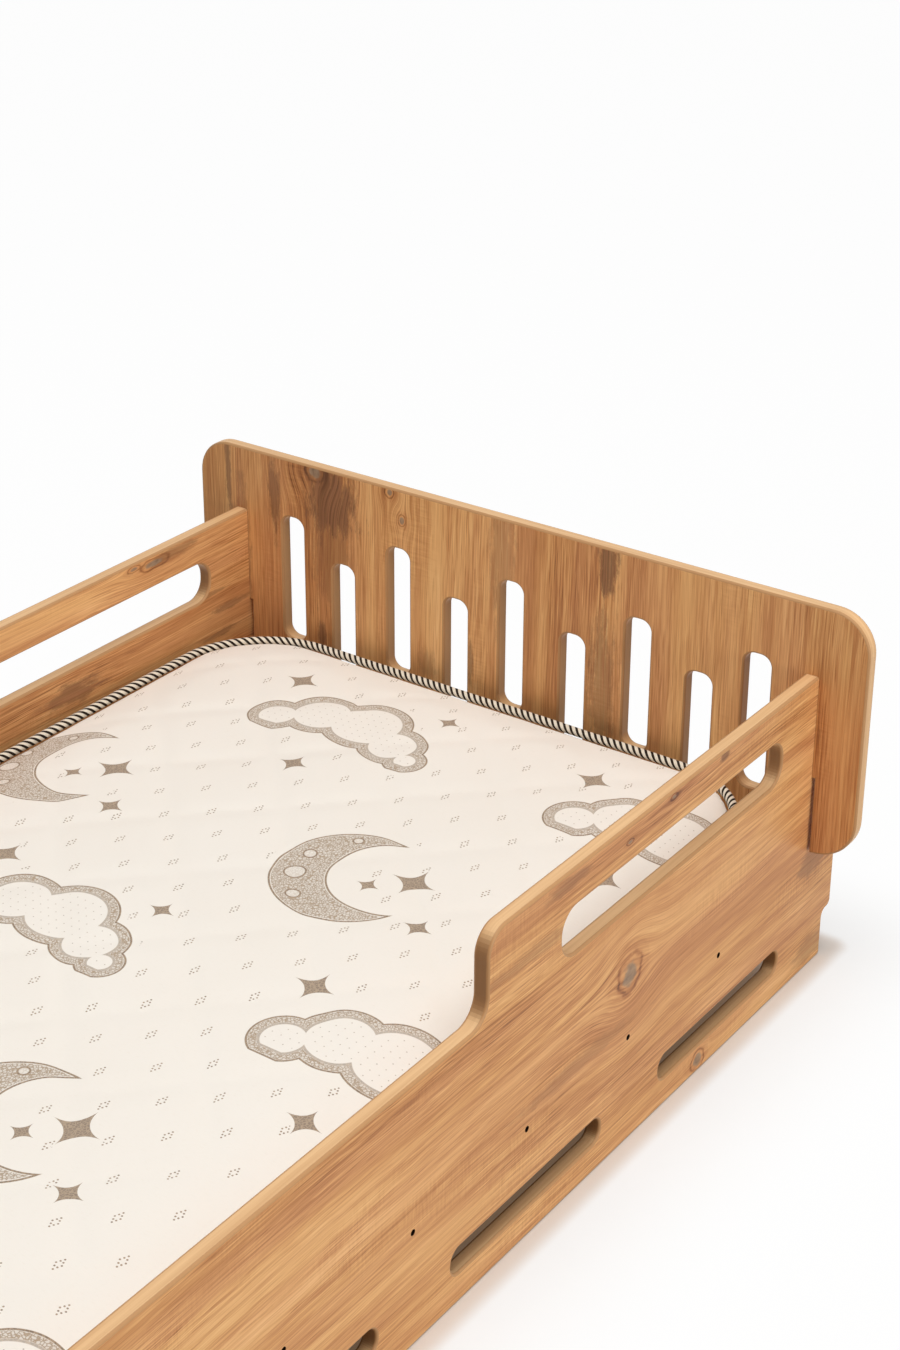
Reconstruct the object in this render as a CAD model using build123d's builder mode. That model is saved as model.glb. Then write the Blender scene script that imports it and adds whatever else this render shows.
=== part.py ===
from build123d import *
import math
import os

os.makedirs("parts", exist_ok=True)

# A child's floor bed of cross-lapped boards, in millimetres. The floor is z = 0, x runs across the bed,
# and y runs along it with the head end at +y. The origin is on the floor under the middle of the mattress.

# Boards
board = 18
edge_round = 3  # router roundover on both faces of each cut edge

# Mattress
mattress_width = 800
mattress_length = 1900
mattress_height = 90
mattress_corner = 130
side_gap = 10  # between the mattress and each side panel
end_gap = 20  # between the mattress and each end board
cover_thickness = 5
soft_gap = 0.3  # between the foam and its cover, and round the binding in its seam
piping_radius = 6
seam_inset = 9  # the cover's widest line, in from the binding's outside
seam_height = 80  # centre of the upper binding above the mattress's underside
lower_seam_height = 6.3
side_draw = 3  # how far the sides draw in between the two seams
side_section_count = 3
crown_run = 170  # how far in from the seam the crown levels off
crown_corner = 12
crown_section_count = 4

inner_width = mattress_width + 2 * side_gap
inner_length = mattress_length + 2 * end_gap
outer_width = inner_width + 2 * board

# Side panels
guard_top = 398
guard_length = 658  # from the headboard's face to the step
rail_top = 303
step_crest_radius = 29
step_hollow_radius = 27
tail = 77  # how far each end runs past the end board's inner face
tail_corner = 25
plinth_recess = 20  # the ends step back near the floor, to clear a skirting board
plinth_height = 60
plinth_radius = 9
foot_corner = 4

guard_slot_length = 450
guard_slot_height = 55
guard_slot_margin = 79  # from the headboard's face
guard_slot_drop = 44  # from the top of the guard
guard_slot_corner = 25

low_slot_count = 5
low_slot_length = 270
low_slot_height = 31
low_slot_margin = 56  # from each end board's face
low_slot_sill = 35.5

slot_corner = 14  # of the low slots and of the end boards' slots

# End boards
ear_reach = 59.5  # how far the boards stand out beyond the side panels
ear_bottom = 170
ear_top_radius = 48
ear_bottom_radius = 54
skirt_bottom = 60
skirt_corner = 12
end_slot_count = 9
end_slot_width = 35
end_slot_margin = 48.5  # from each side panel's face to the outer slots, before the shift
end_slot_shift = 10  # the row of slots stands a little off the middle
end_slot_wander = (0, -4, -2, 1, -2, 2, 7, 6, -5)  # how far each slot stands off an even row
slot_stagger = 46  # every second slot is this much lower

headboard_top = 484
headboard_lap = 267  # height at which headboard and side panels meet
headboard_slot_length = 174
headboard_slot_drop = 80  # from the top edge to the upper slots

footboard_top = 389
footboard_lap = 235
footboard_slot_length = 100
footboard_slot_drop = 80

# Cross laps
lap_gap = 3  # beside each side panel, in the end board's notch
lap_fit = 0.3  # before and behind each end board, in the side panel's slot

# Base
ledger_top = 150
ledger_height = 30
ledger_width = 18
ledger_end_gap = 2
ledger_edge = 1.5
slat_count = 13
slat_width = 80
slat_thickness = 15
slat_margin = 20  # from each end board's face to the first slat
slat_end_gap = 1
slat_edge = 2

# Screws
screw_radius = 2
screw_head_radius = 3.3
screw_head_height = 2.5
screw_tip = 4
screw_clearance = 0.15
ledger_screw_count = 9
ledger_screw_margin = 203  # from each end board's face
ledger_screw_length = 26
ledger_screw_sink = 8  # how deep the head lies below the panel's face
slat_screw_length = 24
slat_screw_sink = 0.8
cross_width = 1
cross_length = 4
cross_depth = 1.3

half_length = inner_length / 2
deck_top = ledger_top + slat_thickness
ledger_middle = ledger_top - ledger_height / 2
ledger_line = inner_width / 2 - ledger_width / 2


def spread(count, first, last):
    """Evenly spaced places from first to last."""
    return [first + i * (last - first) / (count - 1) for i in range(count)]


def corner_at(sketch, x, y):
    """The sketch's corner nearest to a point of its own plane."""
    return sketch.vertices().sort_by_distance((x, y))[0]


def face_edges(panel, axis):
    """The edges round both broad faces of a board that is square to the axis."""
    broad_faces = panel.faces().filter_by(axis)
    return ShapeList(edge for face in broad_faces for edge in face.edges())


ledger_screw_places = spread(
    ledger_screw_count, ledger_screw_margin - half_length, half_length - ledger_screw_margin
)
first_slat = slat_margin + slat_width / 2 - half_length
slat_places = spread(slat_count, first_slat, -first_slat)
first_low_slot = low_slot_margin + low_slot_length / 2 - half_length
low_slot_places = spread(low_slot_count, first_low_slot, -first_low_slot)


def side_panel(label, side):
    """A long side: guard, step, low rail and slots, with a slot from above for each end board."""
    step = half_length - guard_length
    end = half_length + tail
    toe = end - plinth_recess
    near_face = min(side * inner_width / 2, side * outer_width / 2)
    outside = Plane(origin=(side * outer_width / 2, 0, 0), x_dir=(0, 1, 0), z_dir=(side, 0, 0))
    with BuildPart() as panel:
        with BuildSketch(Plane.YZ.offset(near_face)) as outline:
            with BuildLine():
                Polyline(
                    (-toe, 0),
                    (toe, 0),
                    (toe, plinth_height),
                    (end, plinth_height),
                    (end, guard_top),
                    (step, guard_top),
                    (step, rail_top),
                    (-end, rail_top),
                    (-end, plinth_height),
                    (-toe, plinth_height),
                    close=True,
                )
            make_face()
            for y, z, radius in (
                (step, guard_top, step_crest_radius),
                (step, rail_top, step_hollow_radius),
                (end, guard_top, tail_corner),
                (-end, rail_top, tail_corner),
                (end, plinth_height, plinth_radius),
                (toe, plinth_height, plinth_radius),
                (-end, plinth_height, plinth_radius),
                (-toe, plinth_height, plinth_radius),
                (toe, 0, foot_corner),
                (-toe, 0, foot_corner),
            ):
                fillet(corner_at(outline, y, z), radius)
            guard_slot_y = half_length - guard_slot_margin - guard_slot_length / 2
            guard_slot_z = guard_top - guard_slot_drop - guard_slot_height / 2
            with Locations((guard_slot_y, guard_slot_z)):
                RectangleRounded(
                    guard_slot_length, guard_slot_height, guard_slot_corner, mode=Mode.SUBTRACT
                )
            with Locations(*[(y, low_slot_sill + low_slot_height / 2) for y in low_slot_places]):
                RectangleRounded(low_slot_length, low_slot_height, slot_corner, mode=Mode.SUBTRACT)
        extrude(amount=board)
        fillet(face_edges(panel, Axis.X), edge_round)
        for place, floor_of_slot in ((half_length, headboard_lap), (-half_length - board, footboard_lap)):
            with BuildSketch(Plane.XY.offset(floor_of_slot)):
                with Locations((side * (inner_width + board) / 2, place + board / 2)):
                    Rectangle(2 * board, board + 2 * lap_fit)
            extrude(amount=guard_top, mode=Mode.SUBTRACT)
        with Locations(outside):
            with Locations(*[(y, side * ledger_middle) for y in ledger_screw_places]):
                CounterBoreHole(
                    radius=screw_radius + screw_clearance,
                    counter_bore_radius=screw_head_radius + screw_clearance,
                    counter_bore_depth=ledger_screw_sink + screw_head_height,
                )
    panel.part.label = label
    export_step(panel.part, f"parts/{label}.step")


def end_board(label, end, top, lap, slot_length, slot_drop):
    """A cross board with ears outside the side panels, notched from below to drop over them."""
    half_width = outer_width / 2 + ear_reach
    notch_inside = inner_width / 2 - lap_gap
    notch_outside = outer_width / 2 + lap_gap
    far_face = max(end * half_length, end * (half_length + board))
    with BuildPart() as cross_board:
        with BuildSketch(Plane.XZ.offset(-far_face)) as outline:
            with BuildLine():
                Polyline(
                    (-half_width, ear_bottom),
                    (-notch_outside, ear_bottom),
                    (-notch_outside, lap),
                    (-notch_inside, lap),
                    (-notch_inside, skirt_bottom),
                    (notch_inside, skirt_bottom),
                    (notch_inside, lap),
                    (notch_outside, lap),
                    (notch_outside, ear_bottom),
                    (half_width, ear_bottom),
                    (half_width, top),
                    (-half_width, top),
                    close=True,
                )
            make_face()
            for side in (-1, 1):
                for x, z, radius in (
                    (half_width, top, ear_top_radius),
                    (half_width, ear_bottom, ear_bottom_radius),
                    (notch_inside, skirt_bottom, skirt_corner),
                ):
                    fillet(corner_at(outline, side * x, z), radius)
            row = spread(end_slot_count, -1, 1)
            half_row = inner_width / 2 - end_slot_margin - end_slot_width / 2
            for i, (share, wander) in enumerate(zip(row, end_slot_wander)):
                slot_middle = end_slot_shift + share * half_row + wander
                slot_top = top - slot_drop - slot_stagger * (i % 2)
                with Locations((slot_middle, slot_top - slot_length / 2)):
                    RectangleRounded(end_slot_width, slot_length, slot_corner, mode=Mode.SUBTRACT)
        extrude(amount=board)
        fillet(face_edges(cross_board, Axis.Y), edge_round)
    cross_board.part.label = label
    export_step(cross_board.part, f"parts/{label}.step")


def ledger(label, side):
    """A strip along the inside of a side panel, which the slats lie on."""
    with BuildPart() as strip:
        with BuildSketch(Plane.XY.offset(ledger_top - ledger_height)):
            with Locations((side * ledger_line, 0)):
                Rectangle(ledger_width, inner_length - 2 * ledger_end_gap)
        extrude(amount=ledger_height)
        inner_edges = strip.edges().filter_by(Axis.Y).sort_by(Axis.X)
        fillet(inner_edges[-2:] if side < 0 else inner_edges[:2], ledger_edge)
        outside = Plane(origin=(side * inner_width / 2, 0, 0), x_dir=(0, 1, 0), z_dir=(side, 0, 0))
        ledger_bite = ledger_screw_length + ledger_screw_sink - board
        with Locations(outside):
            with Locations(*[(y, side * ledger_middle) for y in ledger_screw_places]):
                Hole(radius=screw_radius + screw_clearance, depth=ledger_bite + screw_clearance)
        with Locations(Plane.XY.offset(ledger_top)):
            with Locations(*[(side * ledger_line, y) for y in slat_places]):
                slat_bite = slat_screw_length + slat_screw_sink - slat_thickness
                Hole(radius=screw_radius + screw_clearance, depth=slat_bite + screw_clearance)
    strip.part.label = label
    export_step(strip.part, f"parts/{label}.step")


def slat(label, place):
    """One slat across the bed, screwed down at both ends."""
    with BuildPart() as lath:
        with BuildSketch(Plane.XY.offset(ledger_top)):
            with Locations((0, place)):
                Rectangle(inner_width - 2 * slat_end_gap, slat_width)
        extrude(amount=slat_thickness)
        fillet(lath.edges().filter_by(Axis.X), slat_edge)
        with Locations(Plane.XY.offset(deck_top)):
            with Locations((-ledger_line, place), (ledger_line, place)):
                CounterBoreHole(
                    radius=screw_radius + screw_clearance,
                    counter_bore_radius=screw_head_radius + screw_clearance,
                    counter_bore_depth=slat_screw_sink + screw_head_height,
                )
    lath.part.label = label
    export_step(lath.part, f"parts/{label}.step")


def screw(length):
    """A flat-headed screw down the z axis, the top of its head at the origin."""
    with BuildPart() as body:
        with BuildSketch(Plane.XZ):
            with BuildLine():
                Polyline(
                    (0, 0),
                    (screw_head_radius, 0),
                    (screw_head_radius, -screw_head_height),
                    (screw_radius, -screw_head_height),
                    (screw_radius, screw_tip - length),
                    (0, -length),
                    close=True,
                )
            make_face()
        revolve(axis=Axis.Z)
        with BuildSketch():
            Rectangle(cross_length, cross_width)
            Rectangle(cross_width, cross_length)
        extrude(amount=-cross_depth, mode=Mode.SUBTRACT)
    return body.part


def screws(label, length, places):
    """All screws of one kind, each at a plane whose z axis points out of its head."""
    one = screw(length)
    with BuildPart() as group:
        with Locations(*places):
            add(one)
    group.part.label = label
    export_step(group.part, f"parts/{label}.step")


def mattress_form(skin):
    """The mattress's shape, skin inside its surface: drawn-in sides and a crowned top."""
    rise = mattress_height - seam_height
    sections = [(skin, seam_inset + lower_seam_height)]
    for share in spread(side_section_count, 0, 1):
        height = lower_seam_height + skin + share * (seam_height - lower_seam_height - 2 * skin)
        sections.append((height, seam_inset + side_draw * math.sin(math.pi * share)))
    for share in spread(crown_section_count, 0, 1)[1:]:
        turn = share * math.pi / 2
        inset = seam_inset + crown_run * (1 - math.cos(turn))
        sections.append((seam_height - skin + rise * math.sin(turn), inset))
    with BuildPart() as form:
        for height, inset in sections:
            with BuildSketch(Plane.XY.offset(deck_top + height)):
                RectangleRounded(
                    mattress_width - 2 * (inset + skin),
                    mattress_length - 2 * (inset + skin),
                    max(mattress_corner - inset - skin, crown_corner),
                )
        loft(ruled=True)
    return form.part


def binding(radius, height):
    """A round bead along the seam at a height above the mattress's underside."""
    with BuildSketch(Plane.XY.offset(deck_top + height)) as seam:
        RectangleRounded(
            mattress_width - 2 * piping_radius,
            mattress_length - 2 * piping_radius,
            mattress_corner - piping_radius,
        )
    path = seam.sketch.face().outer_wire()
    with BuildPart() as bead:
        with BuildSketch(Plane(origin=path @ 0, z_dir=path % 0)):
            Circle(radius)
        sweep(path=path)
    return bead.part


def mattress():
    """The foam block, its cover, and the two bindings that lie in the cover's seams."""
    foam = mattress_form(cover_thickness + soft_gap)
    outside = mattress_form(0)
    inside = mattress_form(cover_thickness)
    seams = (("mattress_top_piping", seam_height), ("mattress_bottom_piping", lower_seam_height))
    with BuildPart() as core:
        add(foam)
    core.part.label = "mattress_core"
    export_step(core.part, "parts/mattress_core.step")
    grooves = [binding(piping_radius + soft_gap, height) for name, height in seams]
    with BuildPart() as cover:
        add(outside)
        add(inside, mode=Mode.SUBTRACT)
        add(grooves, mode=Mode.SUBTRACT)
    cover.part.label = "mattress_cover"
    export_step(cover.part, "parts/mattress_cover.step")
    for name, height in seams:
        bead = binding(piping_radius, height)
        bead.label = name
        export_step(bead, f"parts/{name}.step")


for name, side in (("left", -1), ("right", 1)):
    side_panel(f"side_panel_{name}", side)
    ledger(f"ledger_{name}", side)

end_board("headboard", 1, headboard_top, headboard_lap, headboard_slot_length, headboard_slot_drop)
end_board("footboard", -1, footboard_top, footboard_lap, footboard_slot_length, footboard_slot_drop)

for number, place in enumerate(slat_places, start=1):
    slat(f"slat_{number:02d}", place)

ledger_screw_heads = outer_width / 2 - ledger_screw_sink
screws(
    "ledger_screws",
    ledger_screw_length,
    [
        Plane(origin=(side * ledger_screw_heads, y, ledger_middle), x_dir=(0, 1, 0), z_dir=(side, 0, 0))
        for side in (-1, 1)
        for y in ledger_screw_places
    ],
)
screws(
    "slat_screws",
    slat_screw_length,
    [
        Plane.XY.offset(deck_top - slat_screw_sink) * Pos(side * ledger_line, y, 0)
        for side in (-1, 1)
        for y in slat_places
    ],
)

mattress()
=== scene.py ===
"""A child's floor bed of wood-print boards with a mattress, in metres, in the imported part's frame."""

import math

import bpy
import numpy as np
from mathutils import Matrix, Vector, noise


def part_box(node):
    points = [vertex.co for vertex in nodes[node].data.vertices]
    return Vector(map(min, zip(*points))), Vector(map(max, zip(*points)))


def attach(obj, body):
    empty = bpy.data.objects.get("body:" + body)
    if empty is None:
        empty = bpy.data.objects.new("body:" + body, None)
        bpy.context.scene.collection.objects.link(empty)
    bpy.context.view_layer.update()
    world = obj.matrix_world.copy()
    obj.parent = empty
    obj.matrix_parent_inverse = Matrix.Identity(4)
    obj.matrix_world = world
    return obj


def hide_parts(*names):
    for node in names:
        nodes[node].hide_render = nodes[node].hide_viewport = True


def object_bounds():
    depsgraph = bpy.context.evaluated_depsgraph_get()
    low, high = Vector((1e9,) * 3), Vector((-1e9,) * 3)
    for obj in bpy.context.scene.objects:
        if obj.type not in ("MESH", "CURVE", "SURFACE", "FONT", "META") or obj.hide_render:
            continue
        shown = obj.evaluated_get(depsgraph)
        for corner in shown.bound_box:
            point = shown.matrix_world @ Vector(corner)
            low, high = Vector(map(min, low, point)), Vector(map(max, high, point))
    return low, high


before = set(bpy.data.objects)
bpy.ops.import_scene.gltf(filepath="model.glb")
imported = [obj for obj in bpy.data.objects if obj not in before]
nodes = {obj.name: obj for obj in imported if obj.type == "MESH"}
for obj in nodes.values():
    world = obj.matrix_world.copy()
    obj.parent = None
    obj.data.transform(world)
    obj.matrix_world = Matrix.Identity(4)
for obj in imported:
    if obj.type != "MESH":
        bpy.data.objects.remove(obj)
cad_low, cad_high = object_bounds()
scene = bpy.context.scene

# Sizes read from the frame
cover_low, cover_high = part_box("mattress_cover")
binding_low, binding_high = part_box("mattress_top_piping")
lower_binding_low, lower_binding_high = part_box("mattress_bottom_piping")
right_low, right_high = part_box("side_panel_right")
headboard_low, headboard_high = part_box("headboard")
right_middle = (right_low.x + right_high.x) / 2
head_middle = (headboard_low.y + headboard_high.y) / 2
screws_low, screws_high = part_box("ledger_screws")
screw_middle = (screws_low + screws_high) / 2
screw_gaps = 8  # between the screws of one ledger
screw_head = screws_high.z - screws_low.z
screw_pitch = (screws_high.y - screws_low.y - screw_head) / screw_gaps

# The mattress
mattress_corner = 0.130  # radius in plan, at the bindings
seam_inset = 0.009  # from the bindings' outer edge to the fabric beside them
side_draw = 0.003  # how far the sides pull in between the bindings
crown_run = 0.170  # from the upper seam to the flat of the top
crown_corner = 0.012  # least corner radius of a section through the crown
foam_gap = 0.002  # between the foam's box and the foam that shows
cover_voxel = 0.010
cloth_frames = 20
cloth_pressure = 4.0
cloth_mass = 0.4
cloth_cap = 0.004  # how far the simulated cloth may move
swell_heights = (0.0030, 0.0007)  # of the top's wide and narrow rises
pucker_height = 0.0007
pucker_place = 0.02  # inward from the outline
ripple_depth = 0.0012  # on the sides
quilt_pitch = 0.177  # between quilting lines, along the bed's axes
quilt_shift = (-0.080, 0.714)  # one falling and one rising line each cross the mattress here
quilt_depth = 0.0024
quilt_reach = 0.011

# The striped bindings
binding_radius = (binding_high.z - binding_low.z) / 2
stripe_on_sides = 0.0106  # from one dark stripe to the next
stripe_on_ends = 0.0089
stripe_slant = 3.2  # stripes passed in one turn round the bead
bead_sides = 16
bead_spacing = 0.004  # between the bead's rings


def rgb(red, green, blue):
    """A colour given as 0 to 255, as Blender's linear light."""
    scaled = [value / 255 for value in (red, green, blue)]
    return (*[v / 12.92 if v <= 0.04045 else ((v + 0.055) / 1.055) ** 2.4 for v in scaled], 1.0)


# Shader arithmetic

class Num:
    """A value worked out in a material's node tree. Arithmetic on it adds Math nodes."""

    def __init__(self, shader, socket):
        self.shader, self.socket = shader, socket

    def __add__(self, other):
        return self.shader.math("ADD", self, other)

    def __radd__(self, other):
        return self.shader.math("ADD", other, self)

    def __sub__(self, other):
        return self.shader.math("SUBTRACT", self, other)

    def __rsub__(self, other):
        return self.shader.math("SUBTRACT", other, self)

    def __mul__(self, other):
        return self.shader.math("MULTIPLY", self, other)

    def __truediv__(self, other):
        return self.shader.math("DIVIDE", self, other)


class Shader:
    """One material and short calls for the nodes that it uses."""

    def __init__(self, name, roughness, specular=0.5):
        self.material = bpy.data.materials.new(name)
        self.material.use_nodes = True
        tree = self.material.node_tree
        self.nodes, self.links = tree.nodes, tree.links
        self.nodes.clear()
        self.surface = self.nodes.new("ShaderNodeBsdfPrincipled")
        self.surface.inputs["Roughness"].default_value = roughness
        self.surface.inputs["Specular IOR Level"].default_value = specular
        output = self.nodes.new("ShaderNodeOutputMaterial")
        self.links.new(self.surface.outputs["BSDF"], output.inputs["Surface"])

    def put(self, socket, value):
        if isinstance(value, Num):
            self.links.new(value.socket, socket)
        else:
            socket.default_value = value

    def math(self, operation, *values):
        node = self.nodes.new("ShaderNodeMath")
        node.operation = operation
        for socket, value in zip(node.inputs, values):
            self.put(socket, value)
        return Num(self, node.outputs[0])

    def least(self, *values):
        found = values[0]
        for value in values[1:]:
            found = self.math("MINIMUM", found, value)
        return found

    def most(self, *values):
        found = values[0]
        for value in values[1:]:
            found = self.math("MAXIMUM", found, value)
        return found

    def length(self, x, y):
        return self.math("SQRT", x * x + y * y)

    def absolute(self, value):
        return self.math("ABSOLUTE", value)

    def waves(self, value, number):
        """A sine with this number of waves in each unit."""
        return self.math("SINE", value * (2 * math.pi * number))

    def bell(self, value):
        """1 where the value is 0, falling to 0 on both sides of it."""
        return self.math("EXPONENT", value * value * -1.0)

    def step(self, value, low, high):
        """0 below low and 1 above high, or the other way round, with a smooth change between."""
        node = self.nodes.new("ShaderNodeMapRange")
        node.interpolation_type = "SMOOTHSTEP"
        rising = low < high
        for name, given in (
            ("Value", value),
            ("From Min", min(low, high)),
            ("From Max", max(low, high)),
            ("To Min", 0.0 if rising else 1.0),
            ("To Max", 1.0 if rising else 0.0),
        ):
            self.put(node.inputs[name], given)
        return Num(self, node.outputs["Result"])

    def place(self):
        """x, y and z in the bed's own frame."""
        coordinates = self.nodes.new("ShaderNodeTexCoord")
        return self.split(Num(self, coordinates.outputs["Object"]))

    def normal(self):
        geometry = self.nodes.new("ShaderNodeNewGeometry")
        return self.split(Num(self, geometry.outputs["True Normal"]))

    def uv(self, name):
        node = self.nodes.new("ShaderNodeUVMap")
        node.uv_map = name
        return self.split(Num(self, node.outputs["UV"]))

    def split(self, vector):
        node = self.nodes.new("ShaderNodeSeparateXYZ")
        self.put(node.inputs[0], vector)
        return [Num(self, socket) for socket in node.outputs]

    def join(self, x, y, z=0.0):
        node = self.nodes.new("ShaderNodeCombineXYZ")
        for socket, value in zip(node.inputs, (x, y, z)):
            self.put(socket, value)
        return Num(self, node.outputs[0])

    def noise(self, x, y, z=0.0, detail=2.0, roughness=0.5):
        """Smooth noise, about 0.5, with one wave in each unit of x, y and z."""
        node = self.nodes.new("ShaderNodeTexNoise")
        self.put(node.inputs["Vector"], self.join(x, y, z))
        self.put(node.inputs["Scale"], 1.0)
        self.put(node.inputs["Detail"], detail)
        self.put(node.inputs["Roughness"], roughness)
        return Num(self, node.outputs["Fac"])

    def cells(self, x, y, z=0.0):
        """Distance to the nearest edge between cells about one unit wide."""
        node = self.nodes.new("ShaderNodeTexVoronoi")
        node.feature = "DISTANCE_TO_EDGE"
        self.put(node.inputs["Vector"], self.join(x, y, z))
        self.put(node.inputs["Scale"], 1.0)
        return Num(self, node.outputs["Distance"])

    def mix(self, share, first, second):
        node = self.nodes.new("ShaderNodeMix")
        node.data_type = "RGBA"
        self.put(node.inputs[0], share)
        self.put(node.inputs[6], first)
        self.put(node.inputs[7], second)
        return Num(self, node.outputs[2])

    def ramp(self, value, *stops):
        """Colours at places along the value."""
        node = self.nodes.new("ShaderNodeValToRGB")
        self.put(node.inputs[0], value)
        elements = node.color_ramp.elements
        for element, (place, colour) in zip(elements, stops):
            element.position, element.color = place, colour
        for place, colour in stops[2:]:
            elements.new(place).color = colour
        return Num(self, node.outputs["Color"])

    def finish(self, colour, height=None, strength=0.3, distance=0.001):
        self.put(self.surface.inputs["Base Color"], colour)
        if height is not None:
            bump = self.nodes.new("ShaderNodeBump")
            self.put(bump.inputs["Strength"], strength)
            self.put(bump.inputs["Distance"], distance)
            self.put(bump.inputs["Height"], height)
            self.links.new(bump.outputs["Normal"], self.surface.inputs["Normal"])
        return self.material


# The boards' wood print. Places on a board are given along the grain and across it.

X, Y, Z = 0, 1, 2

EDGE_TAN = rgb(232, 190, 141)
EDGE_DARK = rgb(217, 172, 124)
EDGE_ROUND = rgb(178, 132, 88)
# painted shade for the side panels' edges that face along the bed
EDGE_END_SHADE = rgb(136, 91, 52)
# painted shade for the walls inside the end boards' slots
SLOT_WALL_SHADE = rgb(188, 138, 88)
# painted shadow in the side panels' screw holes
BORE_SHADOW = rgb(30, 20, 13)

PRINT_TONES = (
    (0.00, rgb(247, 203, 142)),
    (0.26, rgb(234, 182, 121)),
    (0.46, rgb(212, 154, 98)),
    (0.66, rgb(186, 125, 76)),
    (0.88, rgb(136, 88, 52)),
    (1.00, rgb(88, 55, 35)),
)
WARM_LIGHT, WARM_DARK = rgb(233, 166, 118), rgb(140, 80, 50)
STAIN_DARK, STAIN_LIGHT = rgb(96, 62, 42), rgb(152, 106, 76)
KNOT_DARK, KNOT_LIGHT = rgb(110, 88, 70), rgb(186, 160, 132)

# Streaks in the print: length along the grain and width across it, in metres
FRAY = (0.070, 0.0020)
BROAD = (1.1, 0.085)
BAND = (0.50, 0.024)
STREAK = (0.26, 0.0050)
FIBRE = (0.14, 0.0026)
HAIR = (0.050, 0.0014)
LIVELY = (0.30, 0.11)
GROWTH = (1.2, 0.10)
GROWTH_PATCH = (0.40, 0.05)
CRACK = (0.060, 0.0024)
GLEAM = (0.070, 0.0022)
WARMTH = (0.9, 0.055)

edge_rounding = 0.003
flat_half = (right_high.x - right_low.x) / 2 - edge_rounding  # from a board's middle
slot_zone = 0.400  # the end boards' slots all lie nearer to the middle than this
bore_shadow_reach = 0.0045  # painted shadow round each screw's middle, standing in for the shade deep in its hole


def lines_across(shader, along, line, streak, seed, detail=2.0):
    """Noise drawn out along the grain, in streaks of about the size given."""
    length, width = streak
    return shader.noise(along / length, line / width, seed, detail=detail, roughness=0.6)


def knots_at(shader, along, across, seed, knots):
    """What knots do: how far they push the grain aside, their rings, and their cores."""
    push, rings, core, halo = 0.0, 0.0, 0.0, 0.0
    for knot_along, knot_across, reach_along, reach_across in knots:
        u = (along - knot_along) / reach_along
        v = (across - knot_across) / reach_across
        rough = (shader.noise(along * 38, across * 60, seed + knot_along, detail=3) - 0.5) * 0.8
        reach = shader.length(u, v) + rough
        near = shader.bell(shader.length(u, v) * 0.55)
        push = push + near * (across - knot_across) * 0.85
        around = shader.step(reach, 1.35, 0.75)
        ring = shader.math("POWER", shader.math("SINE", reach * 11.0) * 0.5 + 0.5, 3.0)
        rings = shader.most(rings, ring * around)
        halo = shader.most(halo, shader.step(reach, 1.6, 0.5))
        core = shader.most(core, shader.step(reach, 0.48, 0.30))
    return push, rings, core, halo


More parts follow.
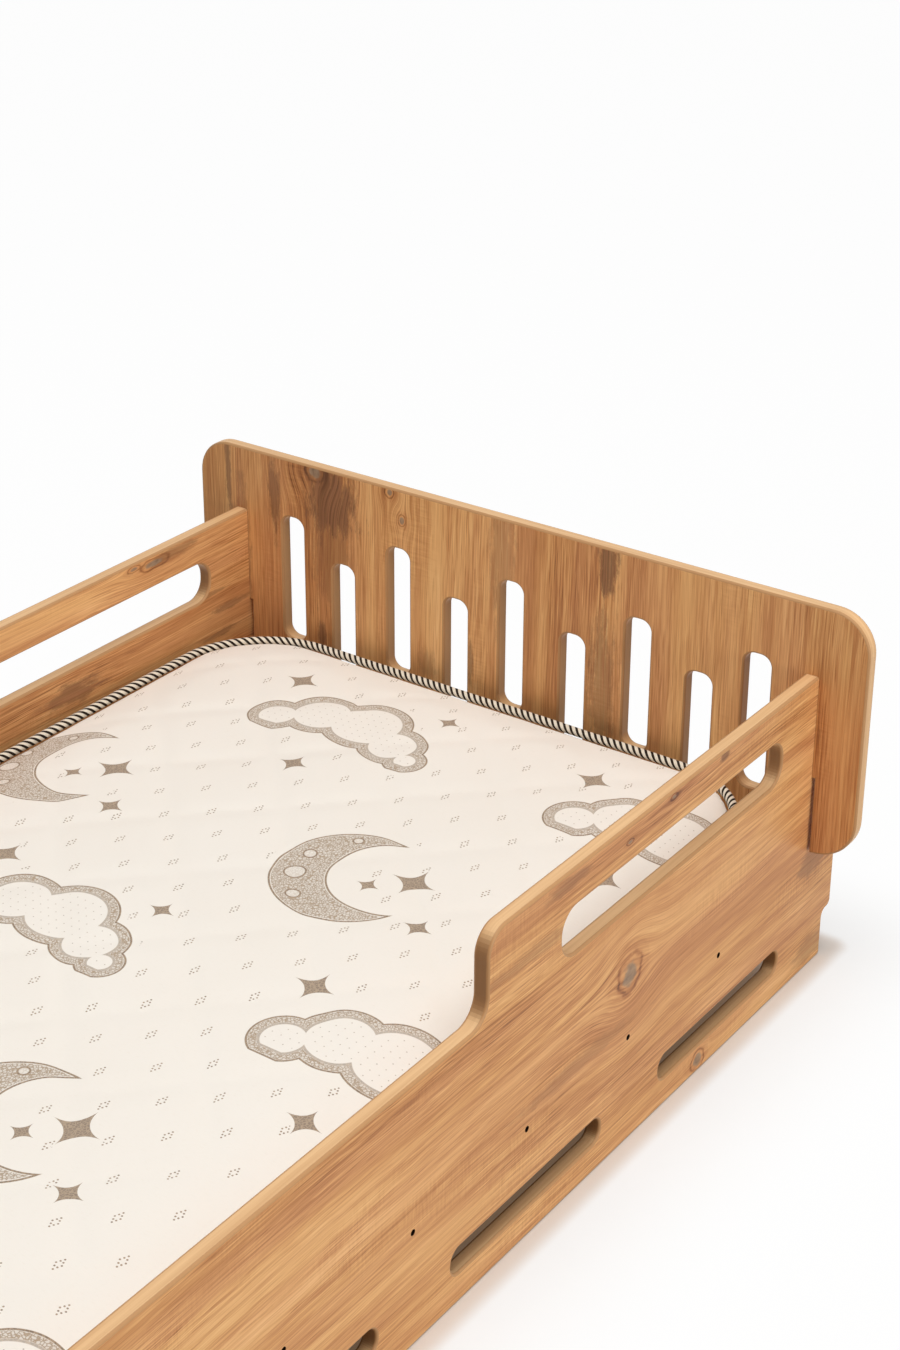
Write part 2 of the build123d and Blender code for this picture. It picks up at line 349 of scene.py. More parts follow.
def wood_print(shader, along, across, seed, knots, stains):
    """The printed wood's colour and height, from bands, growth lines, fibres, knots and stains."""
    push, rings, core, halo = knots_at(shader, along, across, seed, knots)
    line = across + (shader.noise(along * 1.1, across * 2.0, seed) - 0.5) * 0.030
    line = line + (shader.noise(along * 4.0, across * 8.0, seed + 3.1, detail=3) - 0.5) * 0.007 - push

    def streaks_of(streak, shift, line=line, detail=2.0):
        return lines_across(shader, along, line, streak, seed + shift, detail)

    fray = (streaks_of(FRAY, 41.0) - 0.5) * 0.030
    broad = streaks_of(BROAD, 1.7, line + fray)
    bands = streaks_of(BAND, 4.3, line + fray)
    streaks = streaks_of(STREAK, 5.3, line + fray * 0.15, detail=1)
    fibres = shader.step(streaks_of(FIBRE, 15.0, detail=1), 0.34, 0.66)
    hairs = shader.step(streaks_of(HAIR, 37.0, detail=1), 0.36, 0.64)
    lively = shader.step(streaks_of(LIVELY, 33.0, across), 0.36, 0.62)
    growth = line * 92.0 + streaks_of(GROWTH, 9.1) * 9.0
    growth_line = shader.math("POWER", shader.math("FRACT", growth), 4.0)
    growth_line = growth_line * shader.step(streaks_of(GROWTH_PATCH, 11.9), 0.46, 0.62)
    cracks = shader.step(streaks_of(CRACK, 19.0, detail=1), 0.63, 0.70)
    gleams = shader.step(streaks_of(GLEAM, 23.0, detail=1), 0.62, 0.70)
    saw_marks = shader.noise(along * 330.0, across * 34.0, seed + 17.0, detail=2)
    sawn = shader.step(shader.noise(along * 4.0, across * 11.0, seed + 29.0), 0.50, 0.68)
    stain = 0.0
    for stain_along, stain_across, reach_along, reach_across, strength in stains:
        u = (along - stain_along) / reach_along
        v = (across - stain_across) / reach_across
        ragged = shader.noise(along * 30, across * 110, seed + stain_across, detail=6, roughness=0.75)
        patch = shader.bell(shader.length(u, v)) + (ragged - 0.5) * 1.8
        stain = shader.most(stain, shader.step(patch, 0.30, 0.80) * strength)
    dark = (
        (broad - 0.5) * 0.80
        + (bands - 0.5) * 0.55
        + (streaks - 0.5) * 0.30
        + (fibres - 0.5) * (0.09 + lively * 0.13)
        + (hairs - 0.5) * (0.08 + lively * 0.08)
        + growth_line * 0.16
        + cracks * (0.07 + lively * 0.13)
        - gleams * (0.04 + lively * 0.12)
        + (saw_marks - 0.5) * sawn * 0.30
        + rings * 0.30
        + halo * 0.10
        + 0.42
    )
    warmth = shader.step(streaks_of(WARMTH, 21.0), 0.38, 0.64)
    colour = shader.ramp(dark, *PRINT_TONES)
    colour = shader.mix(warmth * 0.35, colour, shader.mix(dark, WARM_LIGHT, WARM_DARK))
    colour = shader.mix(shader.least(stain, 0.9), colour, shader.mix(fibres, STAIN_DARK, STAIN_LIGHT))
    mottle = shader.noise(along * 90, across * 200, seed + 27.0)
    colour = shader.mix(core * 0.85, colour, shader.mix(mottle, KNOT_DARK, KNOT_LIGHT))
    height = fibres * 0.5 + streaks * 0.3 - cracks * 0.5 - growth_line * 0.3
    return colour, height


def board_material(name, grain, face, middle, seed, knots, stains):
    """A foil-faced board: wood print on its two broad faces and sanded tan on its routed edges."""
    shader = Shader(name, roughness=0.44, specular=0.2)
    place = shader.place()
    normal = shader.normal()
    along, across = place[grain], place[3 - grain - face]
    colour, height = wood_print(shader, along, across, seed, knots, stains)
    through = place[face] - middle
    edge_streaks = shader.noise(along * 5.0, across * 5.0, through * 260.0, detail=3, roughness=0.6)
    edge_fleck = shader.noise(*[coordinate * 700.0 for coordinate in place], detail=2)
    edge = shader.mix(shader.step(edge_streaks, 0.30, 0.72), EDGE_TAN, EDGE_DARK)
    edge = shader.mix(shader.step(edge_fleck, 0.60, 0.8) * 0.2, edge, EDGE_ROUND)
    if grain == Y:
        # Painted shade: edges that face along the bed, such as the S-curve walls, are painted darker in
        # place of the shade they fall in.
        shaded_crosswise = shader.step(shader.absolute(normal[Y]), 0.45, 1.0)
        edge = shader.mix(shaded_crosswise * 0.85, edge, EDGE_END_SHADE)
    else:
        # Painted shade: slot walls that face across the bed are painted darker, in place of the shade
        # inside the slots.
        in_shaded_slot = shader.step(shader.absolute(place[X]), slot_zone + 0.005, slot_zone - 0.005)
        edge = shader.mix(in_shaded_slot * shader.absolute(normal[X]) * 0.85, edge, SLOT_WALL_SHADE)
    rounded = shader.step(shader.absolute(through), flat_half - 0.0004, flat_half + 0.0006)
    edge = shader.mix(rounded * 0.85, edge, EDGE_ROUND)
    if grain == Y:
        # Painted shadow: each screw hole's walls are painted near black, standing in for the shade deep
        # in the hole.
        from_screw = shader.length(
            shader.math("WRAP", place[Y], screw_pitch / 2, -screw_pitch / 2), place[Z] - screw_middle.z
        )
        edge = shader.mix(shader.step(from_screw, bore_shadow_reach + 0.002, bore_shadow_reach), edge, BORE_SHADOW)
    broad = shader.step(shader.absolute(normal[face]), 0.985, 0.995)
    colour = shader.mix(broad, edge, colour)
    return shader.finish(colour, height * broad, strength=0.22, distance=0.0006)


right_knots = (
    # along y, across z, reach along, reach across
    (0.573, 0.215, 0.032, 0.032),
    (0.731, 0.015, 0.020, 0.016),
    (0.650, 0.391, 0.011, 0.005),
    (0.564, 0.378, 0.010, 0.004),
)
right_stains = (
    # along y, across z, reach along, reach across, strength
    (0.989, 0.150, 0.045, 0.022, 0.50),
    (1.000, 0.025, 0.050, 0.022, 0.40),
    (0.450, 0.385, 0.045, 0.010, 0.45),
    (0.755, 0.392, 0.012, 0.006, 0.8),
    (0.400, 0.338, 0.120, 0.010, 0.30),
    (0.480, 0.158, 0.130, 0.012, 0.25),
)
left_knots = (
    (0.788, 0.386, 0.035, 0.010),
    (0.750, 0.391, 0.016, 0.006),
    (-0.300, 0.190, 0.024, 0.022),
)
left_stains = (
    (0.628, 0.266, 0.060, 0.018, 0.60),
    (0.930, 0.276, 0.045, 0.006, 0.55),
    (0.883, 0.304, 0.050, 0.004, 0.45),
    (0.907, 0.242, 0.050, 0.005, 0.45),
    (0.820, 0.388, 0.060, 0.010, 0.50),
)
headboard_knots = (
    # along z, across x, reach along, reach across
    (0.444, -0.158, 0.010, 0.008),
    (0.478, -0.176, 0.010, 0.010),
    (0.478, -0.295, 0.020, 0.026),
)
headboard_stains = (
    # along z, across x, reach along, reach across, strength
    (0.440, -0.270, 0.060, 0.046, 0.85),
    (0.360, -0.270, 0.090, 0.036, 0.40),
    (0.300, -0.418, 0.180, 0.014, 0.45),
    (0.430, -0.006, 0.110, 0.022, 0.35),
    (0.430, -0.362, 0.060, 0.012, 0.7),
    (0.450, -0.440, 0.080, 0.006, 0.7),
    (0.250, -0.288, 0.030, 0.008, 0.7),
    (0.254, -0.119, 0.028, 0.016, 0.35),
    (0.275, -0.054, 0.035, 0.008, 0.6),
    (0.460, 0.145, 0.045, 0.016, 0.8),
    (0.300, 0.141, 0.110, 0.024, 0.5),
)
footboard_knots = ((0.300, 0.150, 0.016, 0.012), (0.120, -0.250, 0.018, 0.015))
footboard_stains = ((0.340, -0.180, 0.050, 0.030, 0.6), (0.150, 0.330, 0.060, 0.020, 0.5))


# Bare pine, steel and foam

ledger_side, ledger_top = 0.392, 0.150  # the ledgers' inner faces and upper edges


def pine_material():
    """Planed pine for the slats, whose grain runs across the bed, and the ledgers along it."""
    shader = Shader("bare_pine", roughness=0.6)
    x, y, z = shader.place()
    outside = shader.step(shader.absolute(x), ledger_side - 0.0005, ledger_side + 0.0005)
    beside = outside * shader.step(z, ledger_top + 0.0005, ledger_top - 0.0005)
    along = x + (y - x) * beside
    across = y + (x - y) * beside
    line = across + (shader.noise(along * 1.6, across * 5.0, z * 5.0) - 0.5) * 0.02 + z * 0.7
    bands = shader.noise(along * 0.8, line * 22.0, 4.0, detail=2)
    growth = shader.math("FRACT", line * 160.0 + shader.noise(along * 1.2, line * 12.0, 8.0) * 5.0)
    fibres = shader.noise(along * 16.0, line * 900.0, z * 900.0, detail=2)
    dark = bands * 0.5 + shader.math("POWER", growth, 3.0) * 0.28 + (fibres - 0.5) * 0.25
    colour = shader.ramp(
        dark, (0.1, rgb(232, 205, 160)), (0.45, rgb(219, 184, 134)), (0.8, rgb(186, 140, 88))
    )
    return shader.finish(colour, fibres, strength=0.25, distance=0.0005)


def steel_material(name, light, dark):
    shader = Shader(name, roughness=0.34)
    shader.surface.inputs["Metallic"].default_value = 1.0
    x, y, z = shader.place()
    plating = shader.noise(x * 1500.0, y * 1500.0, z * 1500.0, detail=2)
    return shader.finish(shader.mix(plating, light, dark), plating, strength=0.1, distance=0.0002)


def foam_material():
    shader = Shader("open_cell_foam", roughness=0.9)
    x, y, z = shader.place()
    pores = shader.cells(x * 420.0, y * 420.0, z * 420.0)
    colour = shader.mix(shader.step(pores, 0.02, 0.2), rgb(196, 180, 140), rgb(238, 226, 188))
    return shader.finish(colour, pores, strength=0.6, distance=0.001)


# The mattress fabric

FABRIC, FABRIC_SHADED, FABRIC_SLUB = rgb(248, 242, 233), rgb(246, 239, 229), rgb(232, 220, 203)
INK, INK_SOFT = rgb(118, 91, 64), rgb(162, 135, 104)

# The print, in metres: a moon at each corner of the lattice and a cloud in each middle
print_pitch = (0.430, 0.520)
print_shift = (0.120, 0.500)
MOON, MOON_BITE = (0.0, 0.0, 0.088), (0.040, 0.022, 0.072)
CRATERS = (
    # centre and radius, from the moon's middle
    (-0.056, -0.026, 0.012),
    (-0.065, 0.012, 0.0075),
    (-0.030, -0.062, 0.008),
    (-0.038, 0.064, 0.006),
)
PUFFS = (
    # centre and radius, from the cloud's middle
    (-0.088, -0.012, 0.036),
    (-0.042, 0.018, 0.048),
    (0.020, 0.026, 0.056),
    (0.076, 0.002, 0.042),
    (0.110, -0.020, 0.026),
)
cloud_base = -0.044
cloud_border = 0.0115
MOON_STARS = ((0.062, 0.030, 0.030), (0.026, -0.004, 0.016), (0.118, -0.040, 0.020))
CLOUD_STARS = ((-0.118, 0.075, 0.026), (0.096, 0.090, 0.018), (0.006, -0.098, 0.022))
star_power = 0.55
half_line, soft = 0.0011, 0.0005  # of the drawn outlines
cloud_dot_pitch = 0.011

# Diamonds of eight dots, at the corners and the middles of a finer lattice
diamond_pitch = (0.078, 0.0725)
diamond_shift = (0.1788, 0.4845)
dot_step = (0.00165, 0.0037)
diamond_margin = 0.009  # kept clear round the larger motifs

knit_pitch = (0.0012, 0.0016)


def circle(shader, x, y, centre_x, centre_y, radius):
    """Distance from a circle, below 0 inside it."""
    return shader.length(x - centre_x, y - centre_y) - radius


def star(shader, x, y, centre_x, centre_y, reach):
    """Distance-like field of a star with four slender points."""
    u = shader.math("POWER", shader.absolute(x - centre_x) + 1e-5, star_power)
    v = shader.math("POWER", shader.absolute(y - centre_y) + 1e-5, star_power)
    return shader.math("POWER", u + v, 1 / star_power) - reach


def repeat(shader, place, pitch, shift, share=0.0):
    """Places in a lattice's cell, from its middle. The lattice is moved on by a share of its pitch."""
    return [
        shader.math("WRAP", value - (start + share * step), step / 2, -step / 2)
        for value, step, start in zip(place, pitch, shift)
    ]


def diamonds(shader, place):
    """1 in the dots of the small diamonds."""
    dots = 0.0
    for share in (0.0, 0.5):
        u, v = repeat(shader, place, diamond_pitch, diamond_shift, share)
        nearest = shader.least(*[
            shader.length(u - (i + j) * dot_step[0], v - (i - j) * dot_step[1])
            for i in (-1, 0, 1)
            for j in (-1, 0, 1)
            if i or j
        ])
        dots = shader.most(dots, shader.step(nearest, 0.0013, 0.0006))
    return dots


def fabric_print(shader, place, mottle):
    """How much ink lies on the cloth: outlined moons and clouds, solid stars and the small diamonds."""
    moon_place = repeat(shader, place, print_pitch, print_shift)
    cloud_place = repeat(shader, place, print_pitch, print_shift, 0.5)
    moon_bite = circle(shader, *moon_place, *MOON_BITE)
    moon = shader.most(circle(shader, *moon_place, *MOON), moon_bite * -1.0)
    craters = shader.least(*[circle(shader, *moon_place, *crater) for crater in CRATERS])
    cloud = shader.least(*[circle(shader, *cloud_place, *puff) for puff in PUFFS])
    cloud = shader.most(cloud, (cloud_place[1] - cloud_base) * -1.0)
    inner_line = shader.most(cloud + 0.010, (cloud + 0.013) * -1.0)
    stars = shader.least(
        *[star(shader, *moon_place, *given) for given in MOON_STARS],
        *[star(shader, *cloud_place, *given) for given in CLOUD_STARS],
    )
    outline = shader.most(
        *[
            shader.step(shader.absolute(form), half_line + soft, half_line - soft)
            for form in (moon, cloud, craters)
        ],
        shader.step(inner_line, soft, -soft) * 0.6,
        shader.step(stars, soft, -soft) * 0.85,
    )
    crescent = shader.step(moon, -0.0015, -0.0025) * (1.0 - shader.step(craters, soft, -soft) * 0.6)
    border = shader.step(cloud, 0.001 - cloud_border, 0.002 - cloud_border)
    border = shader.step(cloud, -0.001, -0.002) * border
    mottled = shader.most(crescent, border) * (0.25 + mottle * 0.6)
    grid = repeat(shader, place, (cloud_dot_pitch, cloud_dot_pitch), (0.0, 0.0))
    dotted = shader.step(shader.length(*grid), 0.0010, 0.0005)
    dotted = dotted * shader.step(cloud, -0.016, -0.018) * 0.55
    clear = shader.step(shader.least(moon, cloud, stars), diamond_margin, diamond_margin + 0.003)
    return shader.least(shader.most(outline, mottled, dotted, diamonds(shader, place) * clear), 0.92)


def fabric_material():
    """Cream knitted cotton with dot diamonds on a lattice, and a print of moons, clouds and stars."""
    shader = Shader("printed_cotton", roughness=0.85, specular=0.12)
    shader.surface.inputs["Sheen Weight"].default_value = 0.12
    u, v = shader.uv("print")[:2]
    mottle = shader.step(shader.cells(u * 320.0, v * 320.0, 1.0), 0.16, 0.06)
    wear = shader.noise(u * 900.0, v * 900.0, 5.0, detail=2)
    ink = fabric_print(shader, (u, v), mottle) * (0.78 + wear * 0.35)
    knit = shader.waves(u, 1 / knit_pitch[0]) * shader.waves(v, 1 / knit_pitch[1])
    slub = shader.noise(u * 160.0, v * 900.0, 2.0, detail=2)
    shade = shader.noise(u * 5.0, v * 5.0, 9.0, detail=3)
    cloth = shader.mix(shader.step(shade, 0.3, 0.7) * 0.5, FABRIC, FABRIC_SHADED)
    cloth = shader.mix(shader.step(slub, 0.55, 0.8) * 0.25, cloth, FABRIC_SLUB)
    colour = shader.mix(ink, cloth, shader.mix(mottle, INK, INK_SOFT))
    return shader.finish(colour, knit * 0.5 + slub, strength=0.22, distance=0.0004)


def binding_material():
    """Woven tape with slanted black stripes on cream. The UV runs in stripes along the bead."""
    shader = Shader("striped_tape", roughness=0.8, specular=0.12)
    along, turn = shader.uv("tape")[:2]
    phase = shader.math("FRACT", along + turn * stripe_slant)
    wander = (shader.noise(along * 3.0, turn * 9.0, 2.0) - 0.5) * 0.05
    stripe = shader.step(shader.absolute(phase - 0.5 + wander), 0.25, 0.20)
    weave = shader.waves(along, 9.0) * shader.waves(turn, 24.0)
    cream = shader.mix(weave * 0.5 + 0.5, rgb(243, 234, 217), rgb(228, 216, 196))
    black = shader.mix(weave * 0.5 + 0.5, rgb(34, 26, 20), rgb(52, 40, 31))
    return shader.finish(shader.mix(stripe, cream, black), weave, strength=0.3, distance=0.0003)


# Mattress geometry

def rounded_outline(half_width, half_length, radius, arc_steps, end_steps, side_steps):
    """Places and outward directions along a rectangle with round corners, clockwise from above."""
    corners = (
        (-half_width + radius, half_length - radius, math.pi, end_steps),
        (half_width - radius, half_length - radius, math.pi / 2, side_steps),
        (half_width - radius, -half_length + radius, 0.0, end_steps),
        (-half_width + radius, -half_length + radius, -math.pi / 2, side_steps),
    )
    points = []
    for index, (x, y, start, straight_steps) in enumerate(corners):
        for i in range(arc_steps + 1):
            angle = start - i / arc_steps * math.pi / 2
            out_x, out_y = math.cos(angle), math.sin(angle)
            points.append((x + radius * out_x, y + radius * out_y, out_x, out_y))
        from_x, from_y, out_x, out_y = points[-1]
        next_x, next_y = corners[(index + 1) % 4][:2]
        to_x, to_y = next_x + radius * out_x, next_y + radius * out_y
        for i in range(1, straight_steps):
            share = i / straight_steps
            x, y = from_x + share * (to_x - from_x), from_y + share * (to_y - from_y)
            points.append((x, y, out_x, out_y))
    return np.array(points)


def outline_distance(x, y, half_width, half_length, radius):
    """Distance inside a rounded rectangle's outline, and the direction out of it."""
    from_x, from_y = abs(x) - (half_width - radius), abs(y) - (half_length - radius)
    if from_x > 0 and from_y > 0:
        reach = math.hypot(from_x, from_y)
        return radius - reach, math.copysign(from_x / reach, x), math.copysign(from_y / reach, y)
    if from_x > from_y:
        return radius - from_x, math.copysign(1.0, x), 0.0
    return radius - from_y, 0.0, math.copysign(1.0, y)


def add_mesh(name, vertices, faces, material=None):
    mesh = bpy.data.meshes.new(name)
    mesh.from_pydata([tuple(v) for v in vertices], [], faces)
    mesh.validate()
    piece = bpy.data.objects.new(name, mesh)
    scene.collection.objects.link(piece)
    if material:
        mesh.materials.append(material)
    mesh.shade_smooth()
    return piece


def apply_modifiers(piece):
    """Keeps the shape that the modifiers give, and drops them."""
    finished = piece.evaluated_get(bpy.context.evaluated_depsgraph_get())
    shape = bpy.data.meshes.new_from_object(finished)
    piece.modifiers.clear()
    old, piece.data = piece.data, shape
    bpy.data.meshes.remove(old)


half_width = cover_high.x + seam_inset
half_length = cover_high.y + seam_inset
seam_z = (binding_low.z + binding_high.z) / 2
lower_seam_z = (lower_binding_low.z + lower_binding_high.z) / 2
underside_z = cover_low.z
crown_z = cover_high.z


def mattress_form(name, skin):
    """The cover's closed outer form, or the foam's, skin inside it."""
    sections = [(underside_z + skin, seam_inset)]
    side_steps, crown_steps = 6, 10
    for i in range(side_steps + 1):
        share = i / side_steps
        z = lower_seam_z + skin + share * (seam_z - lower_seam_z - 2 * skin)
        sections.append((z, seam_inset + side_draw * math.sin(math.pi * share)))
    for i in range(1, crown_steps + 1):
        turn = i / crown_steps * math.pi / 2
        z = seam_z - skin + (crown_z - seam_z) * math.sin(turn)
        sections.append((z, seam_inset + crown_run * (1 - math.cos(turn))))
    vertices, faces = [], []
    for z, inset in sections:
        radius = max(mattress_corner - inset - skin, crown_corner)
        outline = rounded_outline(
            half_width - inset - skin,
            half_length - inset - skin,
            radius,
            arc_steps=12,
            end_steps=4,
            side_steps=8,
        )
        vertices += [(x, y, z) for x, y, _, _ in outline]
    count = len(vertices) // len(sections)
    for row in range(len(sections) - 1):
        for i in range(count):
            a, b = row * count + i, row * count + (i + 1) % count
            faces.append((a, b, b + count, a + count))
    faces.append(tuple(range(count)))
    faces.append(tuple(reversed(range(len(vertices) - count, len(vertices)))))
    return add_mesh(name, vertices, faces)


def remesh(piece, voxel):
    modifier = piece.modifiers.new("remesh", "REMESH")
    modifier.mode = "VOXEL"
    modifier.voxel_size = voxel
    apply_modifiers(piece)


def puff_up(piece):
    """Lets pressure inside stretch the cloth between its seams, and caps how far it goes."""
    start = np.array([v.co for v in piece.data.vertices])
    held = piece.vertex_groups.new(name="seams")
    for index, (x, y, z) in enumerate(start):
        inside, _, _ = outline_distance(x, y, half_width, half_length, mattress_corner)
        seam = min(abs(z - seam_z), abs(z - lower_seam_z))
        if inside < seam_inset + 0.010 and seam < 0.012 or z < underside_z + 0.004:
            held.add([index], 1.0, "REPLACE")
    cloth = piece.modifiers.new("cloth", "CLOTH")
    cloth.settings.quality = 4
    cloth.settings.mass = cloth_mass
    cloth.settings.use_pressure = True
    cloth.settings.uniform_pressure_force = cloth_pressure
    cloth.settings.vertex_group_mass = "seams"
    cloth.settings.effector_weights.gravity = 0.0
    cloth.collision_settings.use_collision = False
    cloth.point_cache.frame_start = 1
    cloth.point_cache.frame_end = cloth_frames
    for number in range(1, cloth_frames + 1):
        scene.frame_set(number)
    apply_modifiers(piece)
    moved = np.array([v.co for v in piece.data.vertices]) - start
    reach = np.linalg.norm(moved, axis=1, keepdims=True)
    kept = start + moved * np.minimum(1.0, cloth_cap / np.maximum(reach, 1e-9))
    piece.data.vertices.foreach_set("co", kept.ravel())
    scene.frame_set(1)


def quilt(piece):
    """Sinks the quilting lines, lets the top rise and fall, and puckers it beside the binding."""
    for vertex in piece.data.vertices:
        x, y, z = vertex.co
        inside, out_x, out_y = outline_distance(x, y, half_width, half_length, mattress_corner)
        on_top = min(1.0, max(0.0, (z - seam_z) / 0.004))
        away = min(1.0, max(0.0, (inside - 0.012) / 0.060))
        lines = 0.0
        for diagonal, shift in ((x - y, quilt_shift[0]), (x + y, quilt_shift[1])):
            offset = (diagonal - shift + quilt_pitch / 2) % quilt_pitch - quilt_pitch / 2
            lines = max(lines, math.exp(-(offset / math.sqrt(2) / quilt_reach) ** 2))
        swell = noise.noise((x * 4.5, y * 3.2, 0.7)) * swell_heights[0]
        swell += noise.noise((x * 11.0, y * 9.0, 4.1)) * swell_heights[1]
        pucker = noise.noise((x * 70.0, y * 70.0, 2.0)) * pucker_height
        pucker *= math.exp(-((inside - pucker_place) / pucker_place) ** 2)
        vertex.co.z += on_top * (away * (swell - quilt_depth * lines) + pucker)
        if not on_top and z > underside_z + 0.010:
            ripple = noise.noise((x * 30.0, y * 30.0, z * 12.0)) * ripple_depth
            vertex.co.x += out_x * ripple
            vertex.co.y += out_y * ripple


def unfold(piece):
    """A UV in metres: the plan on top, folded out over the sides."""
    layer = piece.data.uv_layers.new(name="print")
    places = []
    for vertex in piece.data.vertices:
        x, y, z = vertex.co
        _, out_x, out_y = outline_distance(x, y, half_width, half_length, mattress_corner)
        drop = max(0.0, seam_z - z)
        places.append((x + out_x * drop, y + out_y * drop))
    for loop in piece.data.loops:
        layer.data[loop.index].uv = places[loop.vertex_index]


def subdivide(piece):
    modifier = piece.modifiers.new("smooth", "SUBSURF")
    modifier.levels = modifier.render_levels = 1
    apply_modifiers(piece)


def cover():
    piece = mattress_form("mattress_cover_fabric", 0.0)
    remesh(piece, cover_voxel)
    puff_up(piece)
    quilt(piece)
    subdivide(piece)
    unfold(piece)
    piece.data.materials.clear()
    piece.data.materials.append(fabric_material())
    piece.data.shade_smooth()
    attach(piece, "root")
    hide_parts("mattress_cover")


def foam():
    core_low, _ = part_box("mattress_core")
    piece = mattress_form("mattress_foam", core_low.z - underside_z + foam_gap)
    piece.data.materials.append(foam_material())
    piece.data.shade_flat()
    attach(piece, "root")
    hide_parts("mattress_core")


def binding(name, node, z, material):
    """The taped bead in a seam, a little uneven, with its stripes counted along it."""
    radius = mattress_corner - binding_radius
    outline = rounded_outline(
        half_width - binding_radius,
        half_length - binding_radius,
        radius,
        arc_steps=round(radius * math.pi / 2 / bead_spacing),
        end_steps=round(2 * (half_width - mattress_corner) / bead_spacing),
        side_steps=round(2 * (half_length - mattress_corner) / bead_spacing),
    )
    count = len(outline)
    stripes = [0.0]
    for i in range(count):
        here, there = outline[i], outline[(i + 1) % count]
        on_end = here[3] ** 2
        pitch = stripe_on_sides + (stripe_on_ends - stripe_on_sides) * on_end
        stripes.append(stripes[-1] + math.dist(here[:2], there[:2]) / pitch)
    whole = round(stripes[-1]) / stripes[-1]
    vertices = []
    for x, y, out_x, out_y in outline:
        wobble = noise.noise((x * 14.0, y * 14.0, z * 50.0)) * 0.0006
        for j in range(bead_sides):
            angle = 2 * math.pi * j / bead_sides
            reach = binding_radius * (1 + 0.05 * noise.noise((x * 90.0, y * 90.0, j * 0.7))) - 0.0004
            side, lift = reach * math.cos(angle), reach * math.sin(angle) * 0.96
            vertices.append((x + out_x * side, y + out_y * side, z + lift + wobble))
    faces = [
        (
            i * bead_sides + j,
            i * bead_sides + (j + 1) % bead_sides,
            (i + 1) % count * bead_sides + (j + 1) % bead_sides,
            (i + 1) % count * bead_sides + j,
        )
        for i in range(count)
        for j in range(bead_sides)
    ]
    piece = add_mesh(name, vertices, faces, material)
    layer = piece.data.uv_layers.new(name="tape")
    for polygon in piece.data.polygons:
        row, column = divmod(polygon.index, bead_sides)
        corners = ((row, column), (row, column + 1), (row + 1, column + 1), (row + 1, column))
        for loop, (i, j) in zip(polygon.loop_indices, corners):
            layer.data[loop].uv = (stripes[i] * whole, -j / bead_sides)
    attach(piece, "root")
    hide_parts(node)


# Dress the boards, the base and the mattress

def dress(node, material):
    mesh = nodes[node].data
    mesh.materials.clear()
    mesh.materials.append(material)


for node, name, grain, face, middle, seed, knots, stains in (
    ("side_panel_right", "print_right", Y, X, right_middle, 2.0, right_knots, right_stains),
    ("side_panel_left", "print_left", Y, X, -right_middle, 31.0, left_knots, left_stains),
    ("headboard", "print_head", Z, Y, head_middle, 12.0, headboard_knots, headboard_stains),
    ("footboard", "print_foot", Z, Y, -head_middle, 47.0, footboard_knots, footboard_stains),
):
    dress(node, board_material(name, grain, face, middle, seed, knots, stains))
pine = pine_material()
for node in nodes:
    if node.startswith(("slat_", "ledger_")) and not node.endswith("screws"):
        dress(node, pine)
# Painted shade: the ledger screws are given a near-black steel, adding to the painted shadow in their
# holes.
dress("ledger_screws", steel_material("black_steel", rgb(44, 41, 38), rgb(26, 24, 23)))
dress("slat_screws", steel_material("zinc_steel", rgb(205, 205, 200), rgb(150, 150, 148)))

cover()
foam()
tape = binding_material()
binding("mattress_top_binding", "mattress_top_piping", seam_z, tape)
binding("mattress_bottom_binding", "mattress_bottom_piping", lower_seam_z, tape)


# Floor, light and camera

floor_reach = 14.0
floor_edge = 0.03  # the dark floor under the bed turns pale over this distance
floor_fade = 0.20  # the shadow beside the bed fades out over this distance
FLOOR_PALE, FLOOR_PALER, FLOOR_UNSEEN = rgb(240, 239, 236), rgb(246, 245, 243), rgb(172, 168, 162)
GLOW_UNDER, WHITE = rgb(200, 164, 132), rgb(255, 255, 255)
world_light = 0.29
light_aim = Vector((0.0, 0.25, 0.2))
LAMPS = (
    # name, place, width, height, watts
    ("overhead", (0.6, 0.1, 3.3), 3.0, 3.0, 83.0),
    ("right_side", (4.2, 0.3, 0.5), 2.0, 0.8, 62.0),
)
SEEN_RAYS = ("Is Camera Ray", "Is Glossy Ray", "Is Transmission Ray")


def floor_material():
    """A pale floor, seen as white away from the bed, that keeps the shadow beside it."""
    shader = Shader("pale_floor", roughness=0.8, specular=0.2)
    x, y, z = shader.place()
    speck = shader.noise(x * 40.0, y * 40.0, 0.0, detail=3)
    path = shader.nodes.new("ShaderNodeLightPath")
    seen = shader.most(*[Num(shader, path.outputs[kind]) for kind in SEEN_RAYS])
    shader.finish(shader.mix(seen, FLOOR_UNSEEN, shader.mix(speck, FLOOR_PALE, FLOOR_PALER)))
    beyond_x = shader.math("MAXIMUM", shader.absolute(x) - right_high.x, 0.0)
    beyond_y = shader.math("MAXIMUM", shader.absolute(y) - cad_high.y, 0.0)
    beyond = shader.length(beyond_x, beyond_y)
    outside = shader.step(beyond, 0.0, floor_edge)
    away = outside * 0.45 + shader.step(beyond, 0.0, floor_fade) * 0.32 + 0.20
    glow = shader.nodes.new("ShaderNodeEmission")
    shader.put(glow.inputs["Color"], shader.mix(outside, GLOW_UNDER, WHITE))
    blend = shader.nodes.new("ShaderNodeMixShader")
    shader.put(blend.inputs[0], seen * away)
    shader.links.new(shader.surface.outputs["BSDF"], blend.inputs[1])
    shader.links.new(glow.outputs["Emission"], blend.inputs[2])
    output = next(n for n in shader.nodes if n.type == "OUTPUT_MATERIAL")
    shader.links.new(blend.outputs["Shader"], output.inputs["Surface"])
    return shader.material


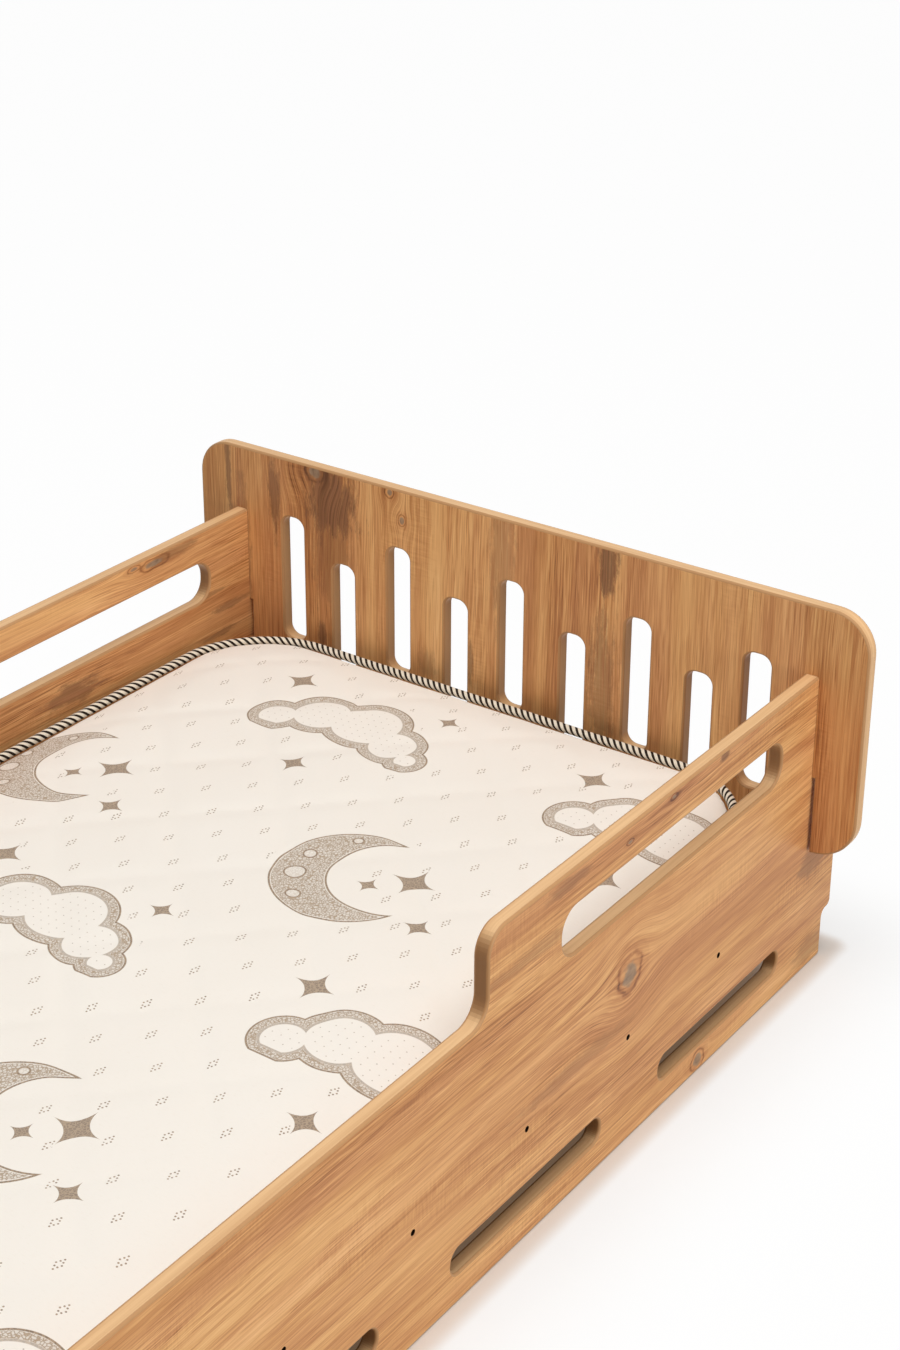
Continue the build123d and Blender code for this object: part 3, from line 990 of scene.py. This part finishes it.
def studio():
    corners = [(x * floor_reach, y * floor_reach, 0) for x, y in ((-1, -1), (1, -1), (1, 1), (-1, 1))]
    floor = add_mesh("floor", corners, [(0, 1, 2, 3)], floor_material())
    world = bpy.data.worlds.new("studio")
    scene.world = world
    world.use_nodes = True
    tree = world.node_tree
    background = tree.nodes["Background"]
    path = tree.nodes.new("ShaderNodeLightPath")
    white = tree.nodes.new("ShaderNodeMapRange")
    white.inputs["To Min"].default_value = world_light
    white.inputs["To Max"].default_value = 1.0
    seen = path.outputs[SEEN_RAYS[0]]
    for kind in SEEN_RAYS[1:]:
        either = tree.nodes.new("ShaderNodeMath")
        either.operation = "MAXIMUM"
        tree.links.new(seen, either.inputs[0])
        tree.links.new(path.outputs[kind], either.inputs[1])
        seen = either.outputs[0]
    tree.links.new(seen, white.inputs["Value"])
    tree.links.new(white.outputs["Result"], background.inputs["Strength"])
    background.inputs["Color"].default_value = WHITE
    for name, place, width, height, watts in LAMPS:
        lamp = bpy.data.lights.new(name, "AREA")
        lamp.shape = "ELLIPSE"
        lamp.size, lamp.size_y = width, height
        lamp.energy = watts
        lamp.color = (1.0, 0.99, 0.975)
        rig = bpy.data.objects.new(name, lamp)
        scene.collection.objects.link(rig)
        rig.location = place
        rig.rotation_euler = (light_aim - rig.location).to_track_quat("-Z", "Y").to_euler()
    scene.view_settings.view_transform = "Standard"


def camera():
    """The photograph's viewpoint: a long lens above the bed's right-hand foot side."""
    place = (1.4829, -1.2464, 1.6118)
    photo_width, photo_height = 900, 1350
    focal_pixels = 2394.8
    principal_x, principal_y = 445.6, 588.1
    heading, tilt, roll = 35.363, 24.562, 0.243
    lens = bpy.data.cameras.new("photo_camera")
    lens.sensor_width = 36.0
    long_side = max(photo_width, photo_height)
    lens.lens = focal_pixels / long_side * lens.sensor_width
    lens.shift_x = (photo_width / 2 - principal_x) / long_side
    lens.shift_y = (principal_y - photo_height / 2) / long_side
    view = bpy.data.objects.new("photo_camera", lens)
    scene.collection.objects.link(view)
    view.matrix_world = (
        Matrix.Translation(place)
        @ Matrix.Rotation(math.radians(heading), 4, "Z")
        @ Matrix.Rotation(math.radians(90 - tilt), 4, "X")
        @ Matrix.Rotation(math.radians(roll), 4, "Z")
    )
    scene.camera = view


studio()
camera()
